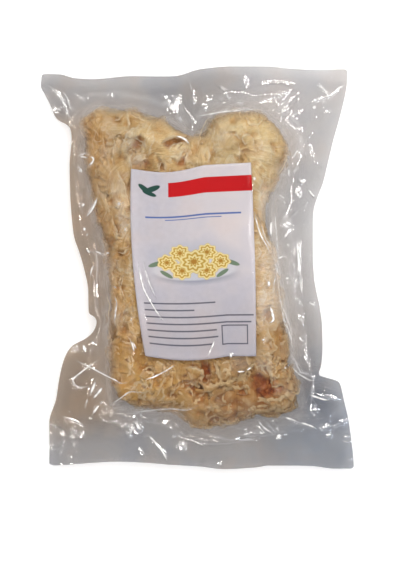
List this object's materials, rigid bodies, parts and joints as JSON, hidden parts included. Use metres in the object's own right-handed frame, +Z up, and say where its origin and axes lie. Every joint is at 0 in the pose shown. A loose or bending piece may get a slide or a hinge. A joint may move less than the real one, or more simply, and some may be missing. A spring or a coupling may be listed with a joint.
{
  "type": "bag of dried snow fungus",
  "caption": "Sealed clear vacuum pouch with pressed heads of pale dried snow fungus and a paper label under the film, lying on its back.",
  "frame": {"origin": "on the surface the bag lies on, under the middle of its outline", "axes": "+X across the bag, +Y along it towards the end the label's band is nearest, +Z up through the front film"},
  "size_m": [0.2563, 0.3305, 0.0445],
  "materials": {
    "film": "gloss",
    "label_paper": "matte",
    "fungus": "matte"
  },
  "bodies": {
    "root": {"front_film": "film", "back_film": "film", "label": "label_paper", "head_top_left": "fungus", "head_top_right": "fungus", "head_middle_left": "fungus", "head_middle_right": "fungus", "head_bottom_left": "fungus", "head_bottom_right": "fungus"}
  },
  "joints": []
}
